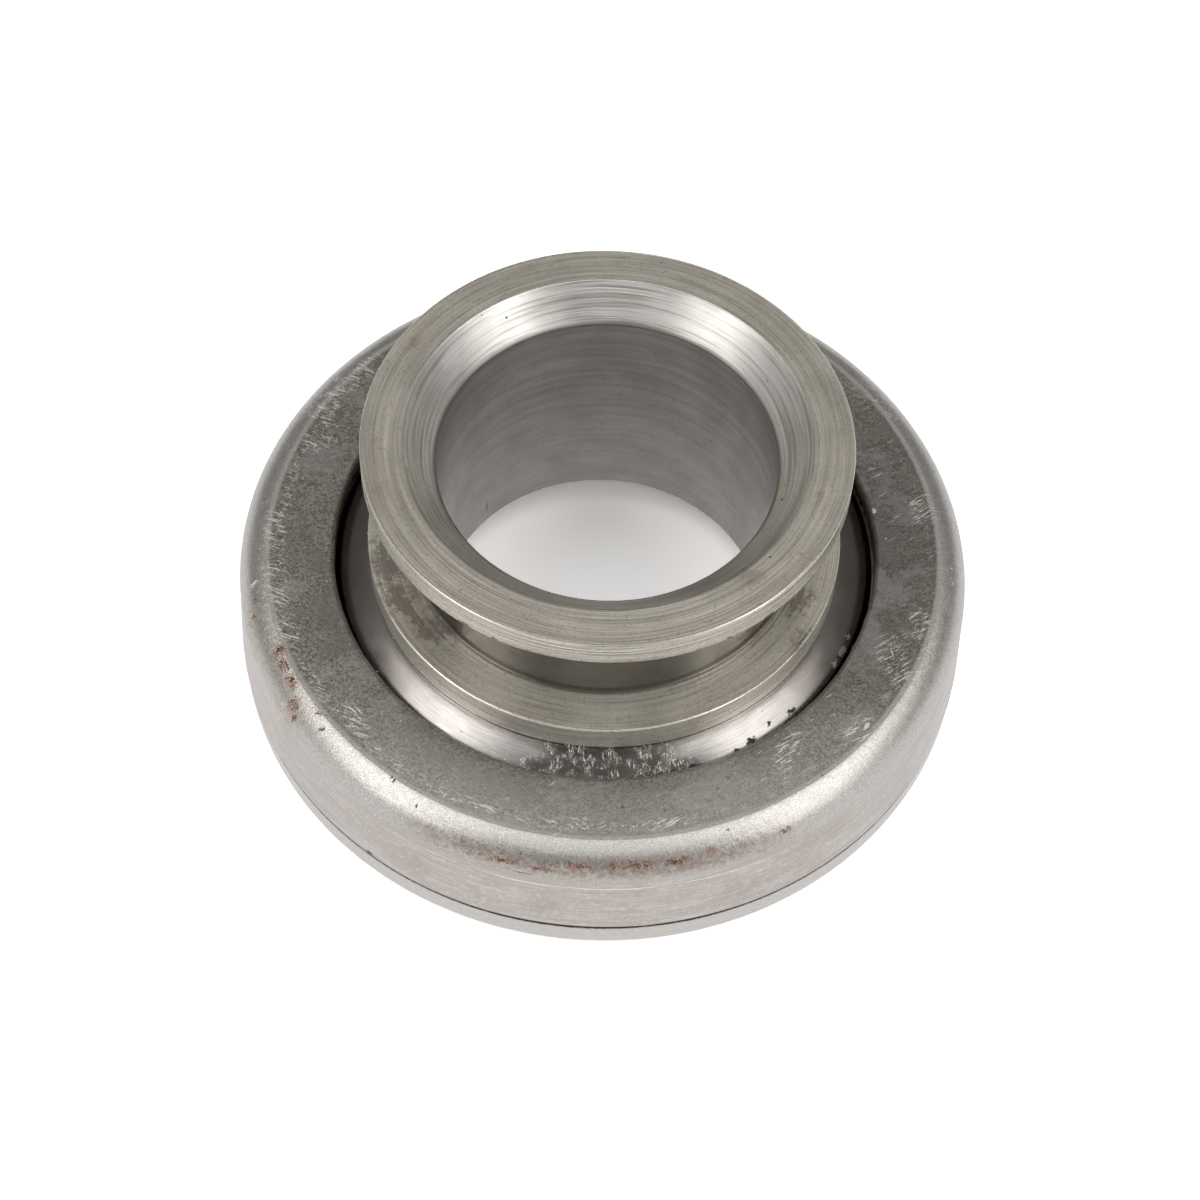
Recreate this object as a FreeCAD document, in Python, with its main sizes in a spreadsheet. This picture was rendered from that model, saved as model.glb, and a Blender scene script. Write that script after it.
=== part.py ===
import FreeCAD, Part
import os
import Sketcher

# A clutch release bearing: a flanged sleeve that slides on the gearbox quill and is pushed
# by the release fork, and a ball thrust bearing whose outer half spins with the clutch.
# Millimetres. The axis is Z. The contact face lies in the plane Z = 0, the fork end is up.

# Each driving size is written once, here.
DRIVING_SIZES = {
    # Sleeve
    "quill_bore_radius": 17.5,
    "bore_mouth_chamfer": 3.35,
    "bore_tail_chamfer": 0.5,
    "groove_wall": 2.85,
    "journal_wall": 3.0,
    "fork_flange_depth": 4.7,
    "fork_flange_thickness": 3.0,
    "fork_groove_width": 12.7,
    "seat_flange_depth": 4.65,
    "seat_flange_thickness": 3.45,
    "flange_edge_break": 0.25,
    "tool_nose_radius": 0.4,
    "sleeve_tail": 0.8,
    # Balls and their tracks
    "ball_diameter": 7.938,
    "ball_count": 16,
    "ball_play": 0.04,
    "track_conformity": 0.52,
    "contact_angle": 50,
    # Inner race, which stands still with the sleeve
    "race_web": 6.37,
    "race_head": 7.27,
    "race_skirt": 4.28,
    "rim_inside_balls": 2.8,
    "land_inside_balls": 3.6,
    "crown_drop": 1.15,
    "crown_radius": 10.6,
    "crown_start_gap": 0.05,
    "race_rim_round": 0.4,
    "race_bore_chamfer": 0.4,
    # Thrust ring, which turns with the clutch
    "thrust_web": 4.75,
    "ring_wall": 2.3,
    "ring_head": 3.7,
    "counterbore_step": 0.26,
    "land_gap": 0.7,
    "lip_thickness": 3.4,
    "lip_gap": 2.1,
    "rim_thickness": 4.35,
    "rim_shyness": 0.1,
    "rim_top_round": 0.3,
    "contact_edge_round": 2.0,
    "contact_bore_round": 0.6,
    # Pressed shell around the thrust ring
    "sheet_thickness": 1.6,
    "shell_above_seat": 0.85,
    "shell_draft_angle": 3.62,
    "shell_corner_round": 3.5,
    "shell_hole_round": 0.4,
    "dust_gap": 0.65,
    "crimp_gap": 0.3,
    # Crown cage
    "cage_half_width": 2.1,
    "cage_web": 1.35,
    "cage_claw": 0.9,
    "pocket_clearance": 0.1,
    "claw_slot_radius": 1.1,
}

# Sizes and places that follow from the driving ones, as formulas of the same sheet.
# Radii are from the axis, and levels are heights above the contact face.
DERIVED_SIZES = {
    "ball_radius": "ball_diameter / 2",
    "track_radius": "ball_diameter * track_conformity",
    # Where each track's centre lies beside the ball's, so that ball and track come closest
    # along the line of thrust
    "track_offset": "track_radius - ball_radius - ball_play",
    "track_offset_out": "track_offset * cos(contact_angle)",
    "track_offset_up": "track_offset * sin(contact_angle)",
    "journal_radius": "quill_bore_radius + journal_wall",
    "ball_circle_radius": "journal_radius + race_web + track_radius",
    "ball_level": "thrust_web + track_radius",
    "inner_track_centre": "ball_circle_radius + track_offset_out",
    "inner_track_level": "ball_level - track_offset_up",
    "outer_track_centre": "ball_circle_radius - track_offset_out",
    "outer_track_level": "ball_level + track_offset_up",
    # Inner race
    "race_seat_level": "ball_level + race_head",
    "race_bottom_level": "ball_level - race_skirt",
    "race_rim_radius": "ball_circle_radius - rim_inside_balls",
    "race_land_radius": "ball_circle_radius - land_inside_balls",
    "seat_flange_radius": "quill_bore_radius + groove_wall + seat_flange_depth",
    "crown_start_radius": "seat_flange_radius + crown_start_gap",
    "crown_end_level": "race_seat_level - crown_drop",
    # Sleeve
    "sleeve_end_level": "race_bottom_level - sleeve_tail",
    "seat_flange_top": "race_seat_level + seat_flange_thickness",
    "fork_flange_bottom": "seat_flange_top + fork_groove_width",
    "sleeve_top": "fork_flange_bottom + fork_flange_thickness",
    "groove_root_radius": "quill_bore_radius + groove_wall",
    "fork_flange_radius": "groove_root_radius + fork_flange_depth",
    "bore_mouth_radius": "quill_bore_radius + bore_mouth_chamfer",
    "bore_mouth_level": "sleeve_top - bore_mouth_chamfer",
    "bore_tail_radius": "quill_bore_radius + bore_tail_chamfer",
    "bore_tail_level": "sleeve_end_level + bore_tail_chamfer",
    # Thrust ring
    "contact_level": "0 * rim_thickness",
    "contact_bore_radius": "journal_radius + lip_gap",
    "ring_land_radius": "race_land_radius + land_gap",
    "counterbore_radius": "outer_track_centre + track_radius + counterbore_step",
    "ring_top_level": "ball_level + ring_head",
    "seat_top_radius": "ball_circle_radius + track_radius + ring_wall",
    "seat_bottom_radius": "seat_top_radius + (ring_top_level - rim_thickness) * tan(shell_draft_angle)",
    "rim_radius": "skirt_end_radius - rim_shyness",
    # Shell. Its inner wall is the ring's tapered seat, carried on to the sheet's top.
    "shell_top_level": "race_seat_level + shell_above_seat",
    "shell_ceiling_level": "shell_top_level - sheet_thickness",
    "shell_hole_radius": "race_rim_radius + dust_gap",
    "skirt_end_level": "rim_thickness + crimp_gap",
    "skirt_end_inner_radius": "seat_bottom_radius - crimp_gap * tan(shell_draft_angle)",
    "skirt_end_radius": "skirt_end_inner_radius + sheet_thickness",
    "ceiling_corner_radius": "seat_top_radius - (shell_ceiling_level - ring_top_level) * tan(shell_draft_angle)",
    "shell_corner_radius": "skirt_end_radius - (shell_top_level - skirt_end_level) * tan(shell_draft_angle)",
    "shell_inner_round": "shell_corner_round - sheet_thickness",
    # Cage
    "cage_inner_radius": "ball_circle_radius - cage_half_width",
    "cage_outer_radius": "ball_circle_radius + cage_half_width",
    "cage_bottom_level": "ball_level - cage_claw",
    "cage_top_level": "ball_level + ball_radius + cage_web",
    "pocket_radius": "ball_radius + pocket_clearance",
    "ball_spacing": "360 / ball_count",
    "claw_slot_length": "4 * cage_half_width",
    "claw_slot_start": "ball_circle_radius - 2 * cage_half_width",
}


def make_sheet(doc):
    """Fill the sheet: a name in column A, its value or formula in column B."""
    sheet = doc.addObject("Spreadsheet::Sheet", "Sizes")
    rows = [(name, str(value)) for name, value in DRIVING_SIZES.items()]
    rows += [(name, "=" + formula) for name, formula in DERIVED_SIZES.items()]
    for number, (name, _) in enumerate(rows, start=1):
        sheet.set("A%d" % number, name)
        sheet.setAlias("B%d" % number, name)
    for number, (_, content) in enumerate(rows, start=1):
        sheet.set("B%d" % number, content)
    doc.recompute()
    return sheet


def size(doc, name):
    """The value of a size, as a plain number."""
    return float(doc.Sizes.get(name))


def origin_item(body, role):
    """A plane or axis of the body's own origin."""
    return next(item for item in body.Origin.OriginFeatures if item.Role == role)


def new_body(doc, label):
    """An empty body with its label."""
    body = doc.addObject("PartDesign::Body", label)
    body.Label = label
    return body


def section_sketch(body, name):
    """A sketch in the XZ plane: across is the radius, up is the level."""
    sketch = body.newObject("Sketcher::SketchObject", name)
    sketch.AttachmentSupport = [(origin_item(body, "XZ_Plane"), "")]
    sketch.MapMode = "FlatFace"
    return sketch


def place_point(sketch, curve, end, radius, level):
    """Tie one point of a curve to two named sizes."""
    origin_curve, origin_point = -1, 1
    for kind, name in (("DistanceX", radius), ("DistanceY", level)):
        value = size(sketch.Document, name)
        sketch.addConstraint(
            Sketcher.Constraint(kind, origin_curve, origin_point, curve, end, value))
        last = sketch.ConstraintCount - 1
        sketch.setExpression("Constraints[%d]" % last, "Sizes." + name)


def add_outline(sketch, corners, arcs=None):
    """A closed outline through named corners.

    arcs gives, for the side that starts at a corner, the name of its radius: that side
    bulges to its right, which is outwards on an outline drawn clockwise.
    """
    doc = sketch.Document
    arcs = arcs or {}
    points = [FreeCAD.Vector(size(doc, r), size(doc, z), 0) for r, z in corners]
    count = len(points)
    first_end, second_end = [], []
    for index in range(count):
        start, end = points[index], points[(index + 1) % count]
        if index in arcs:
            radius = size(doc, arcs[index])
            chord = end - start
            middle = (start + end) / 2
            across = FreeCAD.Vector(chord.y, -chord.x, 0).normalize()
            reach = (radius ** 2 - (chord.Length / 2) ** 2) ** 0.5
            centre = middle + across * reach
            top = centre - across * radius
            sketch.addGeometry(Part.Arc(start, top, end), False)
            # An arc is stored anticlockwise, so its ends are swapped on this outline.
            first_end.append(2)
            second_end.append(1)
        else:
            sketch.addGeometry(Part.LineSegment(start, end), False)
            first_end.append(1)
            second_end.append(2)
    for index, (radius, level) in enumerate(corners):
        before = (index - 1) % count
        sketch.addConstraint(Sketcher.Constraint(
            "Coincident", before, second_end[before], index, first_end[index]))
        place_point(sketch, index, first_end[index], radius, level)
    for index, radius in arcs.items():
        sketch.addConstraint(Sketcher.Constraint("Radius", index, size(doc, radius)))
        last = sketch.ConstraintCount - 1
        sketch.setExpression("Constraints[%d]" % last, "Sizes." + radius)


def turn_outline(body, name, corners, arcs=None):
    """Turn a closed section round the axis."""
    sketch = section_sketch(body, name + "_section")
    add_outline(sketch, corners, arcs)
    turned = body.newObject("PartDesign::Revolution", name)
    turned.Profile = sketch
    turned.ReferenceAxis = (sketch, ["V_Axis"])
    turned.Angle = 360
    sketch.Visibility = False
    body.Document.recompute()
    return turned


def cut_track(body, name, centre_radius, centre_level):
    """Grind a round track for the balls into a race."""
    doc = body.Document
    volume_before = body.Shape.Volume
    sketch = section_sketch(body, name + "_section")
    centre = FreeCAD.Vector(size(doc, centre_radius), size(doc, centre_level), 0)
    sketch.addGeometry(Part.Circle(centre, FreeCAD.Vector(0, 0, 1), size(doc, "track_radius")), False)
    circle, centre_point = 0, 3
    place_point(sketch, circle, centre_point, centre_radius, centre_level)
    sketch.addConstraint(Sketcher.Constraint("Radius", circle, size(doc, "track_radius")))
    sketch.setExpression("Constraints[%d]" % (sketch.ConstraintCount - 1), "Sizes.track_radius")
    track = body.newObject("PartDesign::Groove", name)
    track.Profile = sketch
    track.ReferenceAxis = (sketch, ["V_Axis"])
    track.Angle = 360
    sketch.Visibility = False
    doc.recompute()
    if not body.Shape.Volume < volume_before:
        raise RuntimeError(name + " cuts nothing")
    return track


def round_edges(feature, places):
    """Names of the feature's edges that are circles round the axis at the named places."""
    doc = feature.Document
    wanted = [(size(doc, r), size(doc, z)) for r, z in places]
    found = []
    for number, edge in enumerate(feature.Shape.Edges, start=1):
        if not isinstance(edge.Curve, Part.Circle):
            continue
        middle = edge.Curve.Center
        if abs(middle.x) > 1e-4 or abs(middle.y) > 1e-4:
            continue
        for radius, level in wanted:
            if abs(edge.Curve.Radius - radius) < 1e-4 and abs(middle.z - level) < 1e-4:
                found.append("Edge%d" % number)
    if len(found) != len(wanted):
        raise RuntimeError("%s: %d of %d edges found" % (feature.Name, len(found), len(wanted)))
    return found


def dress_edges(body, kind, name, size_name, places):
    """Round or chamfer the turned edges at the named places."""
    base = body.Tip
    dressed = body.newObject("PartDesign::" + kind, name)
    dressed.Base = (base, round_edges(base, places))
    dressed.setExpression({"Fillet": "Radius", "Chamfer": "Size"}[kind], "Sizes." + size_name)
    body.Document.recompute()
    return dressed


def make_release_sleeve(doc):
    """The turned carrier: bore for the quill, two flanges with the fork's groove between
    them, and below them the journal that the inner race is pressed on."""
    body = new_body(doc, "release_sleeve")
    turn_outline(body, "SleeveBlank", [
        ("bore_tail_radius", "sleeve_end_level"),
        ("quill_bore_radius", "bore_tail_level"),
        ("quill_bore_radius", "bore_mouth_level"),
        ("bore_mouth_radius", "sleeve_top"),
        ("fork_flange_radius", "sleeve_top"),
        ("fork_flange_radius", "fork_flange_bottom"),
        ("groove_root_radius", "fork_flange_bottom"),
        ("groove_root_radius", "seat_flange_top"),
        ("seat_flange_radius", "seat_flange_top"),
        ("seat_flange_radius", "race_seat_level"),
        ("journal_radius", "race_seat_level"),
        ("journal_radius", "sleeve_end_level"),
    ])
    dress_edges(body, "Fillet", "GrooveCorners", "tool_nose_radius", [
        ("groove_root_radius", "fork_flange_bottom"),
        ("groove_root_radius", "seat_flange_top"),
    ])
    dress_edges(body, "Chamfer", "FlangeEdges", "flange_edge_break", [
        ("fork_flange_radius", "sleeve_top"),
        ("fork_flange_radius", "fork_flange_bottom"),
        ("seat_flange_radius", "seat_flange_top"),
        ("seat_flange_radius", "race_seat_level"),
        ("journal_radius", "sleeve_end_level"),
    ])
    return body


def make_inner_race(doc):
    """The race that stands still: a flat seat under the sleeve's flange, a crowned shoulder
    that fills the shell's hole, and the track on its outer lower side."""
    body = new_body(doc, "inner_race")
    crown_side = 1
    turn_outline(body, "RaceBlank", [
        ("journal_radius", "race_seat_level"),
        ("crown_start_radius", "race_seat_level"),
        ("race_rim_radius", "crown_end_level"),
        ("race_rim_radius", "ball_level"),
        ("race_land_radius", "ball_level"),
        ("race_land_radius", "race_bottom_level"),
        ("journal_radius", "race_bottom_level"),
    ], {crown_side: "crown_radius"})
    cut_track(body, "InnerTrack", "inner_track_centre", "inner_track_level")
    dress_edges(body, "Fillet", "RimEdge", "race_rim_round", [
        ("race_rim_radius", "crown_end_level"),
    ])
    dress_edges(body, "Chamfer", "RaceEdges", "race_bore_chamfer", [
        ("journal_radius", "race_bottom_level"),
        ("race_land_radius", "race_bottom_level"),
    ])
    return body


def make_thrust_ring(doc):
    """The race that turns: the flat contact face, a lip under the inner race, the track,
    a rim below the shell and the tapered seat that the shell is pressed on."""
    body = new_body(doc, "thrust_ring")
    turn_outline(body, "RingBlank", [
        ("contact_bore_radius", "contact_level"),
        ("contact_bore_radius", "lip_thickness"),
        ("ring_land_radius", "lip_thickness"),
        ("ring_land_radius", "ball_level"),
        ("counterbore_radius", "ball_level"),
        ("counterbore_radius", "ring_top_level"),
        ("seat_top_radius", "ring_top_level"),
        ("seat_bottom_radius", "rim_thickness"),
        ("rim_radius", "rim_thickness"),
        ("rim_radius", "contact_level"),
    ])
    cut_track(body, "OuterTrack", "outer_track_centre", "outer_track_level")
    dress_edges(body, "Fillet", "ContactEdge", "contact_edge_round", [
        ("rim_radius", "contact_level"),
    ])
    dress_edges(body, "Fillet", "ContactBore", "contact_bore_round", [
        ("contact_bore_radius", "contact_level"),
        ("contact_bore_radius", "lip_thickness"),
    ])
    dress_edges(body, "Fillet", "RimTop", "rim_top_round", [
        ("rim_radius", "rim_thickness"),
    ])
    return body


def make_bearing_shell(doc):
    """The pressed cover: a flat top with a hole round the inner race, a rounded corner and
    a skirt that widens down to the thrust ring's rim."""
    body = new_body(doc, "bearing_shell")
    turn_outline(body, "ShellSheet", [
        ("shell_hole_radius", "shell_ceiling_level"),
        ("shell_hole_radius", "shell_top_level"),
        ("shell_corner_radius", "shell_top_level"),
        ("skirt_end_radius", "skirt_end_level"),
        ("skirt_end_inner_radius", "skirt_end_level"),
        ("ceiling_corner_radius", "shell_ceiling_level"),
    ])
    dress_edges(body, "Fillet", "OuterCorner", "shell_corner_round", [
        ("shell_corner_radius", "shell_top_level"),
    ])
    dress_edges(body, "Fillet", "InnerCorner", "shell_inner_round", [
        ("ceiling_corner_radius", "shell_ceiling_level"),
    ])
    dress_edges(body, "Fillet", "HoleEdge", "shell_hole_round", [
        ("shell_hole_radius", "shell_top_level"),
    ])
    return body


def repeat_round(body, name, feature):
    """Repeat a cut once for each ball."""
    pattern = body.newObject("PartDesign::PolarPattern", name)
    pattern.Originals = [feature]
    pattern.Axis = (origin_item(body, "Z_Axis"), [""])
    pattern.Angle = 360
    pattern.setExpression("Occurrences", "Sizes.ball_count")
    body.Tip = pattern
    body.Document.recompute()
    return pattern


def make_ball_cage(doc):
    """The crown cage: a ring over the balls, with a ball-shaped pocket for each that holds
    it past its middle, and a slot between pockets that lets the claws spring."""
    body = new_body(doc, "ball_cage")
    turn_outline(body, "CageRing", [
        ("cage_inner_radius", "cage_bottom_level"),
        ("cage_inner_radius", "cage_top_level"),
        ("cage_outer_radius", "cage_top_level"),
        ("cage_outer_radius", "cage_bottom_level"),
    ])
    ring_volume = body.Shape.Volume
    pocket = body.newObject("PartDesign::SubtractiveSphere", "BallPocket")
    pocket.MapMode = "Deactivated"
    pocket.setExpression("Radius", "Sizes.pocket_radius")
    pocket.setExpression(".Placement.Base.x", "Sizes.ball_circle_radius")
    pocket.setExpression(".Placement.Base.z", "Sizes.ball_level")
    doc.recompute()
    repeat_round(body, "BallPockets", pocket)
    pocketed_volume = body.Shape.Volume
    slot = body.newObject("PartDesign::SubtractiveCylinder", "ClawSlot")
    slot.MapMode = "Deactivated"
    slot.setExpression("Radius", "Sizes.claw_slot_radius")
    slot.setExpression("Height", "Sizes.claw_slot_length")
    doc.recompute()
    half_turn = size(doc, "ball_spacing") / 2
    lay_flat = FreeCAD.Rotation(FreeCAD.Vector(0, 1, 0), 90)
    turn_aside = FreeCAD.Rotation(FreeCAD.Vector(0, 0, 1), half_turn)
    start = turn_aside.multVec(FreeCAD.Vector(size(doc, "claw_slot_start"), 0, 0))
    start.z = size(doc, "cage_bottom_level")
    slot.Placement = FreeCAD.Placement(start, turn_aside * lay_flat)
    doc.recompute()
    repeat_round(body, "ClawSlots", slot)
    if not body.Shape.Volume < pocketed_volume < ring_volume:
        raise RuntimeError("the cage's cuts are missing")
    return body


def make_ball(doc, number):
    """One ball at its place on the ball circle."""
    label = "ball_%02d" % number
    ball = doc.addObject("Part::Sphere", label)
    ball.Label = label
    ball.setExpression("Radius", "Sizes.ball_radius")
    turn = "(%d * Sizes.ball_spacing)" % (number - 1)
    ball.setExpression(".Placement.Base.x", "Sizes.ball_circle_radius * cos%s" % turn)
    ball.setExpression(".Placement.Base.y", "Sizes.ball_circle_radius * sin%s" % turn)
    ball.setExpression(".Placement.Base.z", "Sizes.ball_level")
    return ball


def check_document(doc, pieces):
    """Stop if an object failed or a piece isn't one sound solid."""
    failed = [item.Name for item in doc.Objects if {"Invalid", "Error"} & set(item.State)]
    if failed:
        raise RuntimeError("failed objects: " + ", ".join(failed))
    for piece in pieces:
        shape = piece.Shape
        if shape.isNull() or not shape.isValid() or len(shape.Solids) != 1:
            raise RuntimeError("unsound shape: " + piece.Label)


def main():
    doc = FreeCAD.newDocument("ReleaseBearing")
    make_sheet(doc)
    pieces = [
        make_release_sleeve(doc),
        make_inner_race(doc),
        make_thrust_ring(doc),
        make_bearing_shell(doc),
        make_ball_cage(doc),
    ]
    pieces += [make_ball(doc, number + 1) for number in range(round(size(doc, "ball_count")))]
    doc.recompute()
    check_document(doc, pieces)
    os.makedirs("parts", exist_ok=True)
    for piece in pieces:
        piece.Shape.exportStep("parts/%s.step" % piece.Label)
        box = piece.Shape.BoundBox
        print("%-16s volume %9.2f  x %7.2f %7.2f  z %6.2f %6.2f" % (
            piece.Label, piece.Shape.Volume, box.XMin, box.XMax, box.ZMin, box.ZMax))


main()
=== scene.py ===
# %% [markdown]
# # A clutch release bearing, dressed for its picture
#
# The object is a used bearing from a car's clutch. A turned steel sleeve with two flanges
# stands in a bearing, whose pressed steel shell spins round it on sixteen balls. It lies on
# its contact face on a white table.
#
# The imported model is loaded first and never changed: it says how large each piece is, where
# it sits and what it moves with. This script adds what the eye needs: finer surfaces, worn
# steel, light and a camera.

# %% Load the frame
import math

import bpy
import numpy as np
from mathutils import Matrix, Vector


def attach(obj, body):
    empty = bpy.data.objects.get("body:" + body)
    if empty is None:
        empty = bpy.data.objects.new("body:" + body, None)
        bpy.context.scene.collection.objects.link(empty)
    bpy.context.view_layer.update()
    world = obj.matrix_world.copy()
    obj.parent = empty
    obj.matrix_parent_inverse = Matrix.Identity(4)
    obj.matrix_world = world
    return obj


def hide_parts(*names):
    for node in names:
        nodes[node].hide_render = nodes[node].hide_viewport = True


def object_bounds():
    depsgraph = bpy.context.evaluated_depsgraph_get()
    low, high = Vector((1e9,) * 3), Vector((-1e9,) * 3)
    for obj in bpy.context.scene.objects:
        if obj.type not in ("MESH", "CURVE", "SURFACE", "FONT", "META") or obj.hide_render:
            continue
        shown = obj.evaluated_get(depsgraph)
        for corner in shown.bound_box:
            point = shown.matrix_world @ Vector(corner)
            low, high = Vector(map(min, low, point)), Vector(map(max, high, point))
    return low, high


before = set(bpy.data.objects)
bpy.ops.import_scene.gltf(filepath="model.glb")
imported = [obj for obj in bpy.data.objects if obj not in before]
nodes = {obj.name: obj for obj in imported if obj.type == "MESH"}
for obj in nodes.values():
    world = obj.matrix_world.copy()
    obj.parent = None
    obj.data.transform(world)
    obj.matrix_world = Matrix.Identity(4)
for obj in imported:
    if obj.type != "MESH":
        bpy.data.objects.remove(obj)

cad_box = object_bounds()
MM = 0.001
print("CAD pieces:", len(nodes), "box in mm:", [[round(v / MM, 2) for v in at] for at in cad_box])

# %% [markdown]
# ## Sizes
#
# Radii and levels in millimetres, as the CAD has them. The widest radius and the top come from
# the frame. The others are read off the drawing, and shapes and wear both use them.

# %% Sizes
SHELL, TOP = (round(float(side) / MM, 3) for side in cad_box[1][1:])
BORE, GROOVE, JOURNAL, FLANGE = 17.5, 20.35, 20.5, 25.05    # radii of the sleeve
TAIL, SEAT, LOW_FACE, FORK_FACE = 3.798, 16.148, 19.598, 32.298    # its levels, from below
MOUTH = 3.35    # the chamfer in the bore's mouth
RIM, HOLE, FLAT, SHEET = 39.427, 28.848, 16.998, 1.6    # thrust ring and shell
AROUND = 640    # points round each piece
print("outside radius", SHELL, "height", TOP, "flat", FLAT)

# %% [markdown]
# ## Camera
#
# The photograph was taken from about 0.29 m, looking down 56 degrees from the level. At that
# distance the near side looks larger than the far side, so a long lens from far away would
# give ellipses of the wrong shape. The place and the lens were solved from the round edges:
# circles of known size leave only one place to stand.

# %% Camera
def put_in_scene(name, data):
    """A new object, linked to the scene."""
    made = bpy.data.objects.new(name, data)
    bpy.context.scene.collection.objects.link(made)
    return made


def turned(degrees, axis):
    """A rotation about a world axis."""
    return Matrix.Rotation(math.radians(degrees), 4, axis)


def aim_camera(place, down, yaw, roll, lens):
    """A camera at place (m), looking towards +Y, turned left by yaw, down and then rolled."""
    camera = put_in_scene("camera", bpy.data.cameras.new("camera"))
    camera.data.lens = lens
    camera.data.sensor_width = 36.0
    camera.data.clip_start = 0.01
    turn = turned(yaw, "Z") @ turned(90.0 - down, "X") @ turned(roll, "Z")
    camera.matrix_world = Matrix.Translation(place) @ turn
    bpy.context.scene.camera = camera
    return camera


stand = Vector((0.0, -0.15867, 0.24362))
camera = aim_camera(stand, down=56.293, yaw=0.065, roll=2.217, lens=77.75)
print("camera distance in mm:", round(camera.matrix_world.translation.length / MM, 1))

# %% [markdown]
# ## Turned pieces from a section
#
# Every steel piece here was turned on a lathe or pressed over a round die, so its surface is
# a section carried round the axis. A Spin or a Screw modifier would do that, but neither can
# dent an edge or let a hole run out of true. Here the whole surface is one array of points,
# so such faults are added with plain arithmetic before the mesh is made.
#
# Real edges are never sharp. Each corner of a section has a small round, and a guard ring
# beside it, so that smooth shading stays flat on the flats.

# %% Section and surface helpers
def along_arc(start, end, sweep, share):
    """An arm that turns from start to end about their centre, by shares of the sweep."""
    return (start * np.sin((1 - share) * sweep) + end * np.sin(share * sweep)) / math.sin(sweep)


def walk_section(corners, longest=1.2):
    """Points of a closed section from (radius, height, round) corners, in mm.

    A round of size q at a corner with an inside angle a starts q / tan(a / 2) before the
    corner. Its centre lies on the line that halves the angle, q / sin(a / 2) away. Straight
    spans are divided so that none is longer than `longest`.
    """
    corners = np.array(corners, float)
    path = []
    for index in range(len(corners)):
        here, size = corners[index, :2], corners[index, 2]
        back = corners[index - 1, :2] - here
        ahead = corners[(index + 1) % len(corners), :2] - here
        back, ahead = back / np.linalg.norm(back), ahead / np.linalg.norm(ahead)
        half = math.acos(float(np.clip(back @ ahead, -1.0, 1.0))) / 2
        if size == 0 or half > 1.5:
            path.append(here[None])
            continue
        reach = size / math.tan(half)
        centre = here + (back + ahead) / np.linalg.norm(back + ahead) * size / math.sin(half)
        start, end = here + back * reach - centre, here + ahead * reach - centre
        sweep = math.pi - 2 * half
        steps = max(3, int(math.ceil(sweep / math.radians(8 if size > 1 else 24))))
        share = np.linspace(0, 1, steps + 1)[:, None]
        arc = centre + along_arc(start, end, sweep, share)
        guard = min(0.12, 0.5 * size)
        path.append(np.vstack([arc[0] + back * guard, arc, arc[-1] + ahead * guard]))
    points = np.vstack(path)
    spans = np.roll(points, -1, axis=0) - points
    pieces = np.maximum(1, np.ceil(np.linalg.norm(spans, axis=1) / longest)).astype(int)
    order = np.repeat(np.arange(len(points)), pieces)
    step = np.concatenate([np.arange(count) / count for count in pieces])
    return points[order] + spans[order] * step[:, None]


def carry_round(section, steps):
    """Radius, height and azimuth of every point when a section is carried round the axis."""
    around = np.arange(steps) * 2 * math.pi / steps
    radius = np.repeat(section[:, :1], steps, axis=1)
    height = np.repeat(section[:, 1:], steps, axis=1)
    return radius, height, np.repeat(around[None], len(section), axis=0)


def make_piece(name, grid, body, replaced):
    """A closed surface: x = radius cos(around), y = radius sin(around), z = height.

    The grid closes on itself both ways, along the section and round the axis, so the mesh
    has no seam and no pole. The section runs anticlockwise, material on its left.
    """
    radius, height, around = grid
    rows, columns = radius.shape
    points = np.stack([radius * np.cos(around), radius * np.sin(around), height], axis=-1) * MM
    number = np.arange(rows * columns).reshape(rows, columns)
    up, over = np.roll(number, -1, axis=0), np.roll(number, -1, axis=1)
    corner = np.roll(up, -1, axis=1)
    faces = np.stack([number, over, corner, up], axis=-1).reshape(-1, 4)
    mesh = bpy.data.meshes.new(name)
    mesh.vertices.add(rows * columns)
    mesh.vertices.foreach_set("co", points.reshape(-1))
    mesh.loops.add(faces.size)
    mesh.loops.foreach_set("vertex_index", faces.reshape(-1))
    mesh.polygons.add(len(faces))
    mesh.polygons.foreach_set("loop_start", np.arange(0, faces.size, 4))
    mesh.update(calc_edges=True)
    mesh.validate()
    mesh.shade_smooth()
    piece = put_in_scene(name, mesh)
    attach(piece, body)
    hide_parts(replaced)
    low, high = points.reshape(-1, 3).min(0) / MM, points.reshape(-1, 3).max(0) / MM
    print(name, "triangles", 2 * len(faces), "mm", np.round(low, 2), np.round(high, 2))
    return piece


def bump_at(around, azimuth, width):
    """A smooth hill of height 1 round the axis at an azimuth, width degrees to each side."""
    away = np.degrees(np.angle(np.exp(1j * (around - math.radians(azimuth)))))
    return np.exp(-(away / width) ** 2)


def slow_waves(around, counts, seed):
    """A sum of waves with whole counts round the axis and chance phases, of size about 1."""
    chance = np.random.default_rng(seed)
    waves = [np.cos(count * around + chance.uniform(0, 2 * math.pi)) for count in counts]
    return np.sum(waves, axis=0) / math.sqrt(len(counts))


def full_spot(spot):
    """A spot or mark with its lean, which is 0 where it is left out."""
    return (*spot, 0)[:7]


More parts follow.
